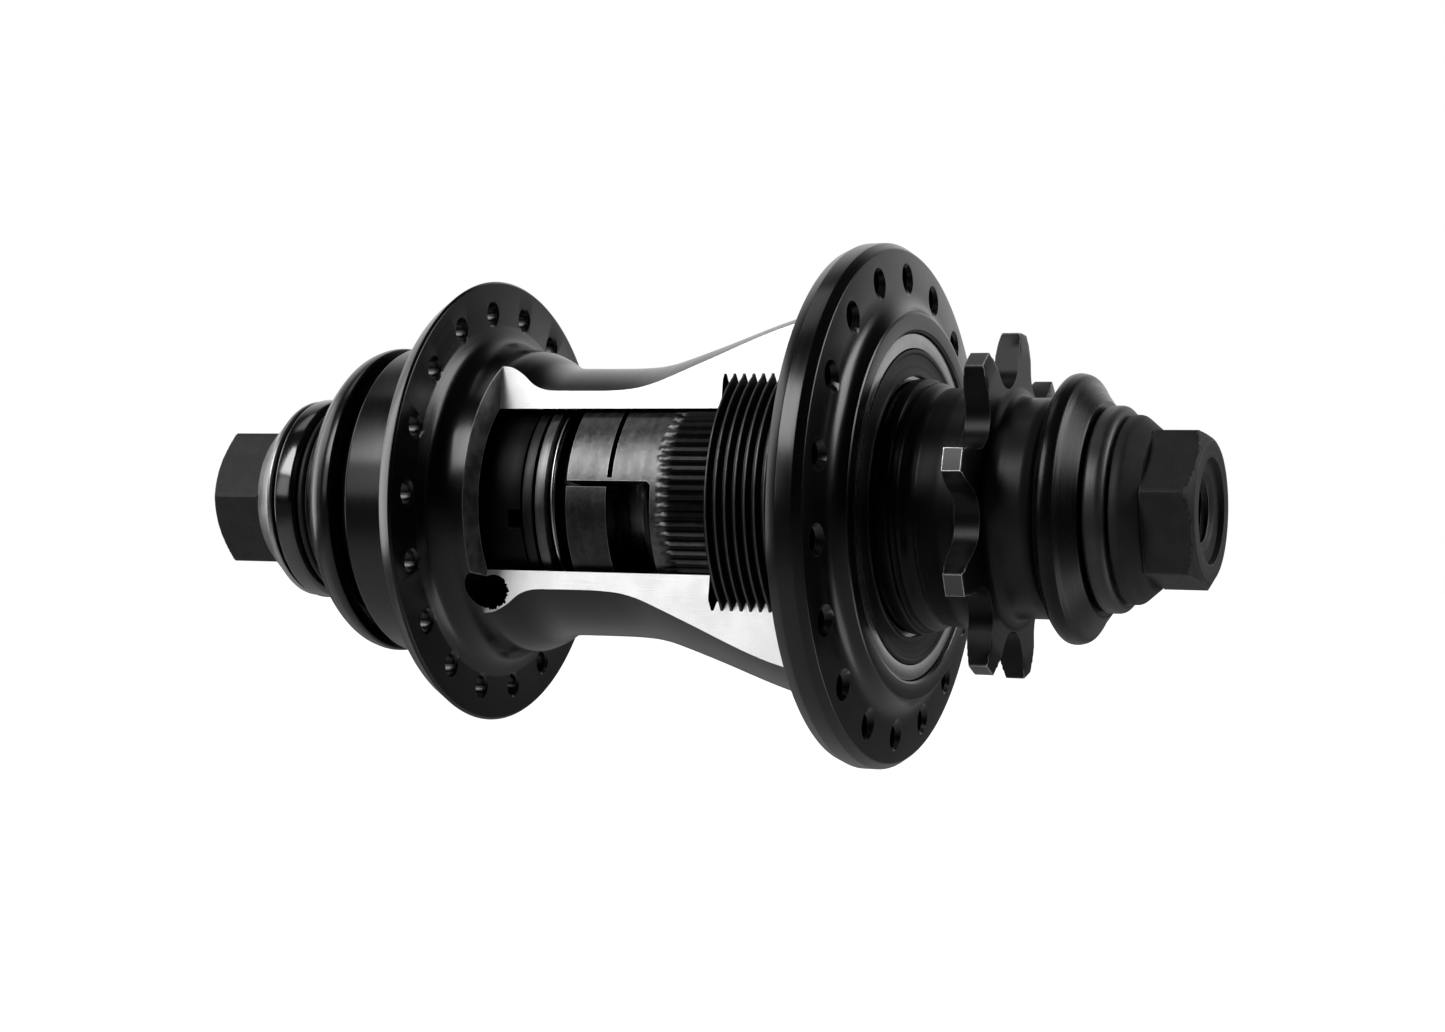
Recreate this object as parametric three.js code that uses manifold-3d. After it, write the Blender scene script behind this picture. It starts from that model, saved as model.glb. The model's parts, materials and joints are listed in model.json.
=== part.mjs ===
// Rear hub of a BMX bicycle, a freecoaster, made as a cutaway: one flat cut in the shell shows the clutch.
// Millimetres. The axle lies along Y with the drive side at +Y, Z is up, and +X is the side that is cut open.
// The origin is on the axle's axis, half way between the two faces that the frame's dropouts clamp on.
import * as THREE from 'three';
import { mergeVertices } from 'three/addons/utils/BufferGeometryUtils.js';
import Module from 'manifold-3d';

const wasm = await Module();
wasm.setup();

// ---- driving dimensions -------------------------------------------------------------------------
const CLAMP_WIDTH = 110;            // between the dropout faces
const AXLE_R = 7;                   // 14 mm axle
const AXLE_BODY_R = 8.6;            // thicker middle of the axle
const FIT = 0.3;                    // gap left between pieces that touch
const RUN = 0.25;                   // radial gap between pieces that turn past each other
const SIDES = 22;                   // facets round a small turned piece
const WIDE_SIDES = 30;              // facets round a wide one

const HEX_ACROSS_FLATS = 17;
const HEX_END_R = 8.1;              // where the hexagon's chamfer meets its end face
const BOLT_SHANK = { r: 4.9, tip: 33 };
const BOLT_HOLE = { r: 3.5, depth: 11, recessR: 6.15, recess: 0.8 };
// Distances along each bolt are from the middle of the hub, and phase turns the hexagon.
const DRIVE_BOLT = { flangeR: 11.1, rim: 1.2, coneR: 9.5, coneEnd: 58.5, end: 64.6, phase: 14.3 };
const OTHER_BOLT = { flangeR: 12.9, rim: 0.6, coneR: 9.6, coneEnd: 59.6, end: 67.1, phase: -2.3 };

const SPOKES_PER_FLANGE = 18;
const SPOKE_HOLE_R = 1.35;
const DRIVE_FLANGE = { r: 31.8, inner: 21.9, outer: 26.3, holeR: 27.8, phase: 14 };
const OTHER_FLANGE = { r: 28.3, inner: -28.2, outer: -30.6, holeR: 24.2, phase: 4 };

const SHELL_BORE_R = 15.4;
const SHELL_END = -40;
const SHELL_FACE = 28.7;
const BEARING_SEAT = 21.1;          // shoulder behind the large bearing
const CUT_OFFSET = 11.6;            // distance from the axis to the cut face
const CUT_TILT = 9.4;               // degrees that the cut face leans back
const CUT = { from: -23.3, to: 19 };
const CORNER_HOLE = { r: 2.15, y: -22.35, z: -12.9, depth: 4 };

const BIG_BEARING = { bore: 15, outer: 21, y0: 21.4, y1: 28.3, ball: 1.9, pitch: 17.95, count: 12 };
const END_BEARING = { bore: 7.3, outer: 17, y0: -39.3, y1: -32.3, ball: 2.6, pitch: 12.1, count: 10 };
const INBOARD_BEARING = { bore: 7.3, outer: 12, y0: 21.3, y1: 26.3, ball: 1.35, pitch: 9.6, count: 10 };
const OUTBOARD_BEARING = { bore: 7.3, outer: 11, y0: 41.8, y1: 46.4, ball: 1.15, pitch: 9.15, count: 10 };

const RING_THREAD = { crest: 18.4, root: 17.55, lead: 1.25, starts: 1, hand: -1 };
const RING = { y0: 8.1, y1: 18.3, mouthR: 15.35, throatR: 13.85 };
const CLUTCH = { y0: -11.6, y1: 17, r: 14.6, bore: 11.15, coneR: 13.15, coneY: 9 };
const HELIX_GAP = 0.4;              // radial gap between the clutch's thread and the driver's
const KNURL = { teeth: 76, depth: 0.35, y0: 1, y1: 9 };
const DRAG_ARM = {
  y0: -6.2, y1: -5.5, windowEnd: -0.3, windowSpan: 83.4, split: 12.4, slot: 2.9, bridge: 1.5,
};
const DRIVE_HELIX = { crest: 11.6, root: 10.75, lead: 12, starts: 2, hand: -1 };

const WIRE_SPRING = {
  r: 12.7, widen: 1, wireR: 0.18, y0: -14.2, rise: 0.15, wave: 0.35, turns: 1.6, from: -70,
};
const SPACER_CUP = { y0: -31.2, floor: -28.1, y1: -18.2, r: 14, bore: 12.1, floorBore: 9 };
const CUP_NOTCH = { depth: 1.8, from: -11.6, to: -2.2 };
const LEFT_WASHER = { bore: 12, r: 14.3, y0: -17.9, y1: -16.5 };
const RIGHT_WASHER = { bore: 12, r: 14.4, y0: -16.1, y1: -14.7 };
const DRAG_SLEEVE = { bore: AXLE_BODY_R + FIT, r: 11.7, y0: -27.8, y1: -5.9 };
const DRIVER_SPACER = { bore: 7.3, r: 8.6, y0: 26.6, y1: 41.5 };
const END_SPACER = { bore: 7.3, r: 9.4, y0: -45, y1: -39.6 };
const CLAMP_SPACER = { bore: 7.4, r: 12.3, y0: 52.5, y1: CLAMP_WIDTH / 2 };
const END_CAP_SEAL = { bore: 10, r: 17.4, y0: -41.9, y1: -40.3 };
const END_CAP_WASHER = { bore: 7.4, r: 13.1, y0: -50.3, y1: -48.7 };
const O_RING = { r: 12.3, wireR: 0.55, y: -51.05 };

const COG = {
  teeth: 9, pitch: 12.7, rollerR: 3.98, tipR: 20.9, y0: 38.4, y1: 41.4, chamfer: 0.35, phase: 17,
};

// ---- helpers ------------------------------------------------------------------------------------
const radians = THREE.MathUtils.degToRad;

function bare(geometry) {
  geometry.deleteAttribute('normal');
  geometry.deleteAttribute('uv');
  return mergeVertices(geometry, 1e-4);
}

function solid(geometry) {
  const merged = bare(geometry);
  return new wasm.Manifold(new wasm.Mesh({
    numProp: 3,
    vertProperties: Float32Array.from(merged.attributes.position.array),
    triVerts: Uint32Array.from(merged.index.array),
  }));
}

function geometryOf(manifold) {
  const mesh = manifold.getMesh();
  const geometry = new THREE.BufferGeometry();
  geometry.setAttribute('position', new THREE.BufferAttribute(mesh.vertProperties, 3));
  geometry.setIndex(new THREE.BufferAttribute(mesh.triVerts, 1));
  return geometry;
}

// A body turned about Y from a closed outline of [radius, y] points, given in either direction.
function turned(outline, segments = SIDES) {
  const area = outline.reduce((sum, [r, y], i) => {
    const [nextR, nextY] = outline[(i + 1) % outline.length];
    return sum + r * nextY - nextR * y;
  }, 0);
  const points = (area > 0 ? outline : [...outline].reverse()).map(([r, y]) => new THREE.Vector2(r, y));
  return new THREE.LatheGeometry([...points, points[0]], segments);
}

function sleeve({ bore, r, y0, y1 }, segments) {
  return turned([[bore, y0], [r, y0], [r, y1], [bore, y1]], segments);
}

function rod(r, y0, y1, segments = SIDES) {
  return new THREE.CylinderGeometry(r, r, y1 - y0, segments).translate(0, (y0 + y1) / 2, 0);
}

// A flat outline in X and Z, raised along Y from y0 to y1.
function raised(shape, y0, y1, curveSegments = 4) {
  const options = { depth: y1 - y0, bevelEnabled: false, curveSegments };
  return new THREE.ExtrudeGeometry(shape, options).rotateX(Math.PI / 2).translate(0, y1, 0);
}

// A wedge of a ring, between two angles measured from +X towards +Z, for cutting windows.
function wedge(r0, r1, y0, y1, fromDegrees, toDegrees) {
  const steps = Math.max(2, Math.ceil((toDegrees - fromDegrees) / 10));
  const rim = (r, i) => {
    const angle = radians(fromDegrees + ((toDegrees - fromDegrees) * i) / steps);
    return new THREE.Vector2(r * Math.cos(angle), r * Math.sin(angle));
  };
  const outside = Array.from({ length: steps + 1 }, (_, i) => rim(r1, i));
  const inside = Array.from({ length: steps + 1 }, (_, i) => rim(r0, steps - i));
  return raised(new THREE.Shape([...outside, ...inside]), y0, y1);
}

// A solid bar with a helical thread, trimmed to length. Bars of the same lead and starts mesh together, and
// widen makes each tooth that much wider on both flanks, for cutting the thread's nut.
function threadedBar({ crest, root, lead, starts, hand, widen = 0 }, y0, y1, segments) {
  const pitch = lead / starts;
  const extra = widen / pitch;
  const tooth = [[-extra, root], [0.3 - extra, crest], [0.55 + extra, crest], [0.85 + extra, root]];
  const base = (Math.floor(y0 / lead) - 2) * lead;
  const perLead = tooth.length * starts;
  const rows = perLead * (Math.ceil((y1 - y0) / lead) + 4);
  const positions = [];
  const vertex = (k, i) => {
    const start = Math.floor(k / tooth.length);
    const [along, r] = tooth[k % tooth.length];
    const plain = k <= perLead || k >= rows;
    const radius = plain ? root : r;
    const y = base + (start + along) * pitch + (lead * i) / segments;
    const angle = (hand * 2 * Math.PI * i) / segments;
    positions.push(radius * Math.cos(angle), y, radius * Math.sin(angle));
  };
  for (let k = 0; k <= rows + perLead; k++) {
    for (let i = 0; i < (k <= rows ? segments : 1); i++) vertex(k, i);
  }
  const at = (k, i) => {
    const [row, column] = i === segments ? [k + perLead, 0] : [k, i];
    return row <= rows ? row * segments + column : (rows + 1) * segments + (row - rows - 1);
  };
  const bottom = positions.length / 3;
  positions.push(0, base - lead, 0, 0, base + (rows / perLead + 2) * lead, 0);
  const faces = [];
  for (let k = 0; k < rows; k++) {
    for (let i = 0; i < segments; i++) {
      const [a, b, c, d] = [at(k, i), at(k + 1, i), at(k + 1, i + 1), at(k, i + 1)];
      faces.push([a, b, c], [a, c, d]);
    }
  }
  for (let i = 0; i < segments; i++) {
    faces.push([at(0, i), at(0, i + 1), bottom], [at(rows, i + 1), at(rows, i), bottom + 1]);
  }
  for (let k = 0; k < perLead; k++) {
    faces.push([at(k + 1, 0), at(k, 0), bottom], [at(rows + k, 0), at(rows + k + 1, 0), bottom + 1]);
  }
  const geometry = new THREE.BufferGeometry();
  geometry.setAttribute('position', new THREE.Float32BufferAttribute(positions, 3));
  geometry.setIndex(faces.flatMap(([a, b, c]) => (hand > 0 ? [a, b, c] : [a, c, b])));
  return solid(geometry).intersect(solid(rod(crest + 1, y0, y1, 12)));
}

// ---- bearings -----------------------------------------------------------------------------------
// side is -1 for the race inside the balls and +1 for the race outside them.
function race({ pitch, ball, y0, y1 }, side, backR) {
  const middle = (y0 + y1) / 2;
  const edgeR = pitch + side * ball * 0.6;
  const grooveR = pitch + side * (ball * 1.12 + 0.15);
  return turned([
    [backR, y1], [backR, y0], [edgeR, y0], [edgeR, middle - ball],
    [grooveR, middle], [edgeR, middle + ball], [edgeR, y1],
  ], backR > 14 ? WIDE_SIDES : SIDES);
}

function cagedBalls({ pitch, ball, y0, y1, count }) {
  const middle = (y0 + y1) / 2;
  const ring = {
    bore: pitch - ball * 0.2, r: pitch + ball * 0.2, y0: middle - ball * 0.4, y1: middle + ball * 0.4,
  };
  let cage = solid(sleeve(ring, count));
  for (let i = 0; i < count; i++) {
    const ballShape = new THREE.SphereGeometry(ball, 6, 4).translate(0, middle, pitch);
    cage = cage.add(solid(ballShape.rotateY((2 * Math.PI * i) / count)));
  }
  return geometryOf(cage);
}

// A shield that sits in the mouth of the outer race and runs clear of the inner one.
function seal({ pitch, ball }, y0, y1) {
  return sleeve({ bore: pitch - ball * 0.6 + RUN, r: pitch + ball * 0.6 - FIT / 2, y0, y1 });
}

// ---- shell --------------------------------------------------------------------------------------
function shellOutline() {
  const drive = DRIVE_FLANGE;
  const other = OTHER_FLANGE;
  const barrelR = 19.9;
  return [
    [17.3, SHELL_END], [19.5, SHELL_END], [barrelR, SHELL_END + 0.4], [barrelR, other.outer - 0.7],
    [20.6, other.outer], [other.r - 1.4, other.outer],
    [other.r, other.inner - 0.3], [other.r - 0.3, other.inner],
    [22.6, other.inner], [20.6, -27.3], [19.5, -25.4], [19.4, -22.4], [18.8, -20.9], [17.4, -18.9],
    [17, -17.4], [16.95, -8], [17.2, -4.5], [18.3, 0], [20.25, 6], [22.3, 12], [23.9, 18], [25.3, 21.2],
    [27, drive.inner],
    [drive.r - 0.6, drive.inner], [drive.r, drive.inner + 1.4], [drive.r, drive.outer - 1],
    [drive.r - 0.7, drive.outer], [25.6, drive.outer + 0.6], [23.6, 28], [23.3, SHELL_FACE],
    [BIG_BEARING.outer + 0.15, SHELL_FACE], [BIG_BEARING.outer + 0.15, BEARING_SEAT],
    [RING_THREAD.crest + FIT, BEARING_SEAT], [RING_THREAD.crest + FIT, RING.y0 - FIT],
    [SHELL_BORE_R, RING.y0 - FIT], [SHELL_BORE_R, END_BEARING.y1 + FIT], [17.3, END_BEARING.y1 + FIT],
  ];
}

function spokeHole({ inner, outer, holeR, phase }, index) {
  const cutter = rod(SPOKE_HOLE_R, Math.min(inner, outer) - 1, Math.max(inner, outer) + 1, 7);
  const angle = radians(phase + (360 * index) / SPOKES_PER_FLANGE);
  return solid(cutter.translate(holeR * Math.cos(angle), 0, holeR * Math.sin(angle)));
}

function cutBlock() {
  const depth = 30;
  const block = new THREE.BoxGeometry(depth, CUT.to - CUT.from, 2 * depth);
  block.translate(CUT_OFFSET + depth / 2, (CUT.from + CUT.to) / 2, 0);
  return solid(block.rotateY(-radians(CUT_TILT)));
}

// The hole at one corner of the cut, drilled square to the cut face and through to the bore.
function cornerHole() {
  const { r, y, z, depth } = CORNER_HOLE;
  const length = 12;
  const hole = new THREE.CylinderGeometry(r, r, length, 16);
  hole.rotateZ(Math.PI / 2).translate(CUT_OFFSET - depth + length / 2, y, z);
  return solid(hole.rotateY(-radians(CUT_TILT)));
}

function hubShell() {
  let shell = solid(turned(shellOutline(), 42)).subtract(cutBlock()).subtract(cornerHole());
  for (let i = 0; i < SPOKES_PER_FLANGE; i++) {
    shell = shell.subtract(spokeHole(DRIVE_FLANGE, i)).subtract(spokeHole(OTHER_FLANGE, i));
  }
  return geometryOf(shell);
}

// ---- clutch -------------------------------------------------------------------------------------
function clutchRing() {
  const { y0, y1, mouthR, throatR } = RING;
  const bore = turned([
    [0, y0 - 1], [mouthR, y0 - 1], [mouthR, y0 + 1.9], [throatR, y1 - 1], [throatR, y1 + 1], [0, y1 + 1],
  ]);
  return geometryOf(threadedBar(RING_THREAD, y0, y1, 28).subtract(solid(bore)));
}

function knurl() {
  const outline = Array.from({ length: 2 * KNURL.teeth }, (_, i) => {
    const angle = (Math.PI * i) / KNURL.teeth;
    const r = CLUTCH.r + (i % 2 ? 0 : KNURL.depth);
    return new THREE.Vector2(r * Math.cos(angle), r * Math.sin(angle));
  });
  return solid(raised(new THREE.Shape(outline), KNURL.y0, KNURL.y1));
}

// The arm is a springy collar: a slit parts it from the clutch, all but a short bridge beside its split.
function dragArmCuts() {
  const { y0, y1, windowEnd, split, bridge, windowSpan, slot } = DRAG_ARM;
  const [r0, r1] = [CLUTCH.bore - 2, CLUTCH.r + 2];
  const gap = solid(wedge(r0, r1, CLUTCH.y0 - 1, y1, split - slot, split));
  const window = solid(wedge(r0, r1, y0, windowEnd, split - windowSpan, split));
  const slit = solid(wedge(r0, r1, y0, y1, split + bridge, split + 360 - windowSpan + 1));
  return gap.add(window).add(slit);
}

function clutch() {
  const { y0, y1, r, coneR, coneY } = CLUTCH;
  const blank = solid(turned([[0, y0], [r, y0], [r, coneY], [coneR, y1], [0, y1]], 36));
  const female = { ...DRIVE_HELIX, crest: DRIVE_HELIX.crest + HELIX_GAP, root: CLUTCH.bore, widen: FIT };
  const armBore = solid(rod(DRIVE_HELIX.crest + HELIX_GAP, y0 - 1, DRAG_ARM.y1));
  return geometryOf(blank.add(knurl()).subtract(threadedBar(female, y0 - 1, y1 + 1, 16))
    .subtract(armBore).subtract(dragArmCuts()));
}

function dragSpring() {
  const { r, widen, wireR, y0, rise, wave, turns, from } = WIRE_SPRING;
  class Coil extends THREE.Curve {
    getPoint(t) {
      const angle = radians(from) + t * 2 * Math.PI * turns;
      const coilR = r + widen * t;
      const y = y0 + (rise - wave * Math.sin(angle)) * t;
      return new THREE.Vector3(coilR * Math.cos(angle), y, coilR * Math.sin(angle));
    }
  }
  const section = new THREE.Shape(Array.from({ length: 5 }, (_, i) => {
    const angle = (2 * Math.PI * i) / 5;
    return new THREE.Vector2(wireR * Math.cos(angle), wireR * Math.sin(angle));
  }));
  return new THREE.ExtrudeGeometry(section, { steps: 32, bevelEnabled: false, extrudePath: new Coil() });
}

function spacerCup() {
  const { y0, floor, y1, r, bore, floorBore } = SPACER_CUP;
  const cup = turned([[floorBore, y0], [r, y0], [r, y1], [bore, y1], [bore, floor], [floorBore, floor]]);
  const notch = wedge(bore - 2, r + 2, y1 - CUP_NOTCH.depth, y1 + 1, CUP_NOTCH.from, CUP_NOTCH.to);
  return geometryOf(solid(cup).subtract(solid(notch)));
}

// ---- driver -------------------------------------------------------------------------------------
function cogOutline() {
  const { teeth, pitch, rollerR, tipR, phase } = COG;
  const pitchR = pitch / (2 * Math.sin(Math.PI / teeth));
  const points = [];
  for (let tooth = 0; tooth < teeth; tooth++) {
    const middle = radians(phase) + (2 * Math.PI * tooth) / teeth;
    for (const side of [-0.065, 0.065]) {
      points.push(new THREE.Vector2(tipR * Math.cos(middle + side), tipR * Math.sin(middle + side)));
    }
    const valley = middle + Math.PI / teeth;
    for (let i = -2; i <= 2; i++) {
      const turn = valley + Math.PI - radians(34 * i);
      points.push(new THREE.Vector2(
        pitchR * Math.cos(valley) + rollerR * Math.cos(turn),
        pitchR * Math.sin(valley) + rollerR * Math.sin(turn),
      ));
    }
  }
  return new THREE.Shape(points);
}

function cog() {
  const { y0, y1, tipR, chamfer } = COG;
  const lens = turned([
    [0, y0], [18.4, y0], [tipR + 0.2, y0 + chamfer], [tipR + 0.2, y1 - chamfer], [18.4, y1], [0, y1],
  ], 36);
  return solid(raised(cogOutline(), y0, y1)).intersect(solid(lens));
}

function driverOutline() {
  const seatR = INBOARD_BEARING.outer + 0.15;
  const capR = OUTBOARD_BEARING.outer + 0.15;
  return [
    [9, 0], [DRIVE_HELIX.root, 0], [DRIVE_HELIX.root, 19.6], [14.85, 20.6], [14.85, 28.8],
    [15.4, 28.9], [15.4, 30.5], [14.9, 30.8], [14.2, 32], [13.9, 33.2], [14.2, 34.3],
    [14.5, 35.3], [14.6, 36.4], [14.6, COG.y0 + 0.2], [13.1, COG.y1 - 0.2], [13.1, 45.6],
    [12.8, 46.4], [12, 46.9], [capR, 46.9], [capR, OUTBOARD_BEARING.y0 - FIT],
    [9.9, OUTBOARD_BEARING.y0 - FIT], [9.9, INBOARD_BEARING.y1 + FIT],
    [seatR, INBOARD_BEARING.y1 + FIT], [seatR, INBOARD_BEARING.y0 - FIT], [9, INBOARD_BEARING.y0 - FIT],
  ];
}

function driver() {
  const body = solid(turned(driverOutline()));
  const bore = solid(rod(10, -4, 22));
  const helix = threadedBar(DRIVE_HELIX, -3, 19.8, 16).subtract(bore);
  const cogBore = solid(rod(13, COG.y0 - 1, COG.y1 + 1));
  return geometryOf(body.add(helix).add(cog().subtract(cogBore)).subtract(solid(rod(9, -4, 20))));
}

// ---- axle and what clamps on it -----------------------------------------------------------------
function axle() {
  const end = CLAMP_WIDTH / 2 - 0.5;
  const boreR = BOLT_SHANK.r + FIT;
  return turned([
    [0, -30], [boreR, -29], [boreR, -end], [AXLE_R - 0.5, -end], [AXLE_R, -end + 0.5], [AXLE_R, -28],
    [AXLE_BODY_R, -28], [AXLE_BODY_R, 21], [AXLE_R, 21], [AXLE_R, end - 0.5], [AXLE_R - 0.5, end],
    [boreR, end], [boreR, 29], [0, 30],
  ]);
}

function hexHead(y0, y1, phase) {
  const cornerR = HEX_ACROSS_FLATS / Math.sqrt(3);
  const hex = rod(cornerR, y0, y1, 6).rotateY(radians(30 - phase));
  const lens = turned([[0, y0], [cornerR + 0.1, y0], [cornerR + 0.1, y1 - 1.1], [HEX_END_R, y1], [0, y1]]);
  return solid(hex).intersect(solid(lens));
}

// An axle bolt for the drive side: shank, flange, cone, hexagon and a threaded blind hole in its end.
function axleBolt({ flangeR, rim, coneR, coneEnd, end, phase }) {
  const face = CLAMP_WIDTH / 2 + FIT;
  const { r, tip } = BOLT_SHANK;
  const base = turned([
    [0, tip], [r - 0.6, tip], [r, tip + 0.6], [r, face], [flangeR - 0.2, face],
    [flangeR, face + 0.2], [flangeR, face + rim], [coneR, coneEnd], [0, coneEnd + 1],
  ]);
  const recess = solid(rod(BOLT_HOLE.recessR, end - BOLT_HOLE.recess, end + 1, 12));
  const hole = solid(rod(BOLT_HOLE.r, end - BOLT_HOLE.depth, end, 12));
  return solid(base).add(hexHead(coneEnd - 0.4, end, phase)).subtract(recess).subtract(hole);
}

function mirrored(manifold) {
  return geometryOf(manifold).rotateZ(Math.PI);
}

function dustCapDrive() {
  return turned([
    [7.4, 47.4], [13.4, 47.4], [15.1, 47.8], [15.9, 48.5], [16.1, 49.3], [15.8, 50], [15, 50.5],
    [12.9, 52.2], [7.4, 52.2],
  ], WIDE_SIDES);
}

function endCap() {
  return turned([
    [7.4, -48.3], [13.8, -48.4], [15.1, -48], [16.7, -47.1], [18.2, -46], [19.3, -44.6], [19.9, -43.2],
    [19.9, -42.4], [18, -42.2], [17.6, -43.6], [15.4, -45.1], [7.4, -45.3],
  ], WIDE_SIDES);
}

function coneOtherSide() {
  const face = -CLAMP_WIDTH / 2;
  return turned([
    [7.4, face], [12.7, face], [13.2, face + 0.5], [13.3, face + 1.6],
    [13.1, -52.1], [12.6, -51.8], [7.4, -51.8],
  ]);
}

function oRing() {
  const outline = Array.from({ length: 6 }, (_, i) => {
    const angle = (Math.PI * i) / 3;
    return [O_RING.r + O_RING.wireR * Math.cos(angle), O_RING.y + O_RING.wireR * Math.sin(angle)];
  });
  return turned(outline);
}

// ---- the assembly -------------------------------------------------------------------------------
const FINISHES = {
  blackGloss: { color: 0x0c0c0d, roughness: 0.25, metalness: 0.4 },
  blackSatin: { color: 0x161617, roughness: 0.45, metalness: 0.5 },
  boltGrey: { color: 0x2b2c2e, roughness: 0.6, metalness: 0.6 },
  spacerGrey: { color: 0x4a4b4d, roughness: 0.5, metalness: 0.6 },
  clutchSteel: { color: 0x77777a, roughness: 0.45, metalness: 0.9 },
  bearingSteel: { color: 0xb4b6b9, roughness: 0.25, metalness: 1 },
  rubber: { color: 0x1b1b1c, roughness: 0.8, metalness: 0 },
};

const hub = new THREE.Group();

function place(name, geometry, finish) {
  const mesh = new THREE.Mesh(bare(geometry), new THREE.MeshStandardMaterial(FINISHES[finish]));
  mesh.name = name;
  hub.add(mesh);
}

place('hub_shell', hubShell(), 'blackGloss');
place('clutch_ring', clutchRing(), 'blackSatin');
place('clutch', clutch(), 'clutchSteel');
place('drag_spring', dragSpring(), 'bearingSteel');
place('driver', driver(), 'blackSatin');

place('axle', axle(), 'bearingSteel');
place('drag_sleeve', sleeve(DRAG_SLEEVE), 'boltGrey');
place('spacer_cup', spacerCup(), 'blackSatin');
place('thrust_washer_left', sleeve(LEFT_WASHER), 'spacerGrey');
place('thrust_washer_right', sleeve(RIGHT_WASHER), 'clutchSteel');
place('driver_bearing_spacer', sleeve(DRIVER_SPACER), 'boltGrey');
place('end_bearing_spacer', sleeve(END_SPACER), 'boltGrey');
place('dust_cap_drive', dustCapDrive(), 'blackSatin');
place('clamp_spacer_drive', sleeve(CLAMP_SPACER), 'spacerGrey');
place('end_cap', endCap(), 'blackGloss');
place('end_cap_seal', sleeve(END_CAP_SEAL), 'rubber');
place('end_cap_washer', sleeve(END_CAP_WASHER), 'blackSatin');
place('o_ring', oRing(), 'rubber');
place('cone_other_side', coneOtherSide(), 'blackGloss');
place('axle_bolt_drive', geometryOf(axleBolt(DRIVE_BOLT)), 'boltGrey');
place('axle_bolt_other_side', mirrored(axleBolt(OTHER_BOLT)), 'boltGrey');

const bearings = {
  shell: BIG_BEARING,
  end: END_BEARING,
  driver_inboard: INBOARD_BEARING,
  driver_outboard: OUTBOARD_BEARING,
};
for (const [name, bearing] of Object.entries(bearings)) {
  place(`${name}_bearing_inner_race`, race(bearing, -1, bearing.bore), 'bearingSteel');
  place(`${name}_bearing_outer_race`, race(bearing, 1, bearing.outer), 'bearingSteel');
  place(`${name}_bearing_balls`, cagedBalls(bearing), 'bearingSteel');
}
place('shell_bearing_seal', seal(BIG_BEARING, BIG_BEARING.y1 - 0.9, BIG_BEARING.y1 - 0.2), 'rubber');
place('end_bearing_seal', seal(END_BEARING, END_BEARING.y0 + 0.1, END_BEARING.y0 + 0.7), 'rubber');
const driverSeal = seal(OUTBOARD_BEARING, OUTBOARD_BEARING.y1 - 0.6, OUTBOARD_BEARING.y1 - 0.1);
place('driver_outboard_bearing_seal', driverSeal, 'rubber');

export default hub;
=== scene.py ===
# Looks of a cutaway rear bicycle hub, in the CAD's frame: the axle lies along Y with the drive side at +Y,
# Z is up, and +X is the side that is cut open. Shapes are in millimetres and the scene is in metres.
import json
import math

import bmesh
import bpy
from mathutils import Matrix, Vector


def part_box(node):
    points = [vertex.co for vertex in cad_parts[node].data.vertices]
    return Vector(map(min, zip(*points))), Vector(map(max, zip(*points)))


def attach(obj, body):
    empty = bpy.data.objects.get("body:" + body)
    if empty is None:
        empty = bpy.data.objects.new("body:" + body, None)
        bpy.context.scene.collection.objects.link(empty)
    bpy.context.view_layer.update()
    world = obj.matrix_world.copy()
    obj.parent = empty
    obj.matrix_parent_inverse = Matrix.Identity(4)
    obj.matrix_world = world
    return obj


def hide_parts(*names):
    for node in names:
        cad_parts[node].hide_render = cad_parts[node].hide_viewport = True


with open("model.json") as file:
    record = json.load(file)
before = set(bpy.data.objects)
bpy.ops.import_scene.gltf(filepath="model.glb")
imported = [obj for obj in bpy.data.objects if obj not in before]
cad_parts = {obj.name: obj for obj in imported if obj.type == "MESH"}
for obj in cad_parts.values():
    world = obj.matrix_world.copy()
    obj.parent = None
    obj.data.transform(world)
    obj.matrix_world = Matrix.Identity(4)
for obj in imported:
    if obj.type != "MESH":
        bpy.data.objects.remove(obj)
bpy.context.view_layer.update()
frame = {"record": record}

MM = 0.001
STEPS = 192
record = frame["record"]
body_of = {n: body for body, nodes in record["behaviour"]["bodies"].items() for n in nodes}


# ---- shapes --------------------------------------------------------------------------------------
def eased(outline, ease=0.12):
    """A closed outline of (radius, y[, ease]) with each corner rounded by its own ease."""
    points = []
    count = len(outline)
    for i, corner in enumerate(outline):
        p = Vector(corner[:2])
        reach = corner[2] if len(corner) > 2 else ease
        to_a = Vector(outline[i - 1][:2]) - p
        to_b = Vector(outline[(i + 1) % count][:2]) - p
        if reach == 0 or p.x == 0 or to_a.angle(to_b) > math.radians(174):
            points.append(tuple(p))
            continue
        cut = min(reach, 0.45 * to_a.length, 0.45 * to_b.length)
        a, b = p + to_a.normalized() * cut, p + to_b.normalized() * cut
        parts = 3 if cut < 0.3 else 6
        for k in range(parts + 1):
            t = k / parts
            points.append(tuple(a * (1 - t) ** 2 + p * 2 * t * (1 - t) + b * t * t))
    return points


def flowing(points, parts=5):
    """Points on one smooth curve through the given (radius, y) points."""
    result = []
    for i in range(len(points) - 1):
        p = [Vector(points[max(0, min(len(points) - 1, i + k))]) for k in (-1, 0, 1, 2)]
        for k in range(parts):
            t = k / parts
            q = 0.5 * (
                2 * p[1] + (p[2] - p[0]) * t
                + (2 * p[0] - 5 * p[1] + 4 * p[2] - p[3]) * t * t
                + (3 * p[1] - p[0] - 3 * p[2] + p[3]) * t ** 3
            )
            result.append((q.x, q.y, 0))
    return result + [(*points[-1], 0)]


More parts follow.
